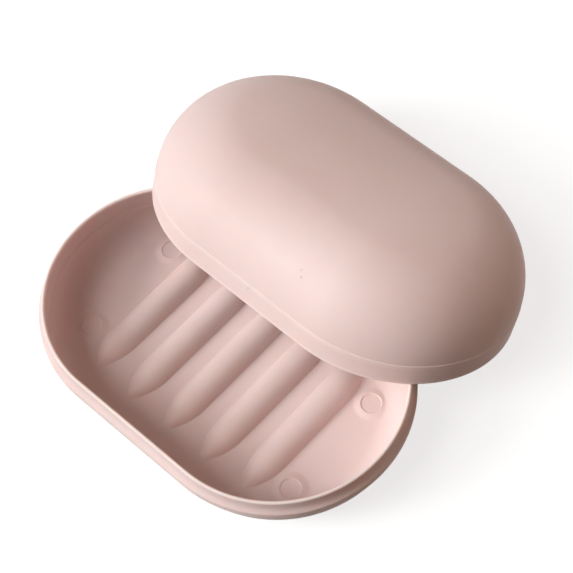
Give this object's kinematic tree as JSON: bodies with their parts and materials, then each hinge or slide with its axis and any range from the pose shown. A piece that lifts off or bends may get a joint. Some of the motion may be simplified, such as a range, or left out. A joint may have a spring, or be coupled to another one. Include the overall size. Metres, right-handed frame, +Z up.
{
  "type": "travel soap box",
  "caption": "Oblong soap box with round ends: open tray with a ribbed floor, stepped rim and small feet, and a domed lid that lifts off.",
  "frame": {"origin": "on the surface the box stands on, below the middle of the tray and the leaning lid together", "axes": "+Z up from that surface; +Y from the tray towards the lid that leans on its back rim; +X along the length of the tray, to the right seen from the front"},
  "size_m": [0.1303, 0.1365, 0.054],
  "materials": {
    "tray_plastic": "matte, fine grain",
    "lid_plastic": "matte, fine grain"
  },
  "bodies": {
    "tray": {"tray": "tray_plastic"},
    "lid": {"lid": "lid_plastic"}
  },
  "joints": [
    {"name": "lid_lift", "type": "slide", "parent": "tray", "child": "lid", "axis": [0, 0, 1], "range_m": [0, 0.1]}
  ]
}
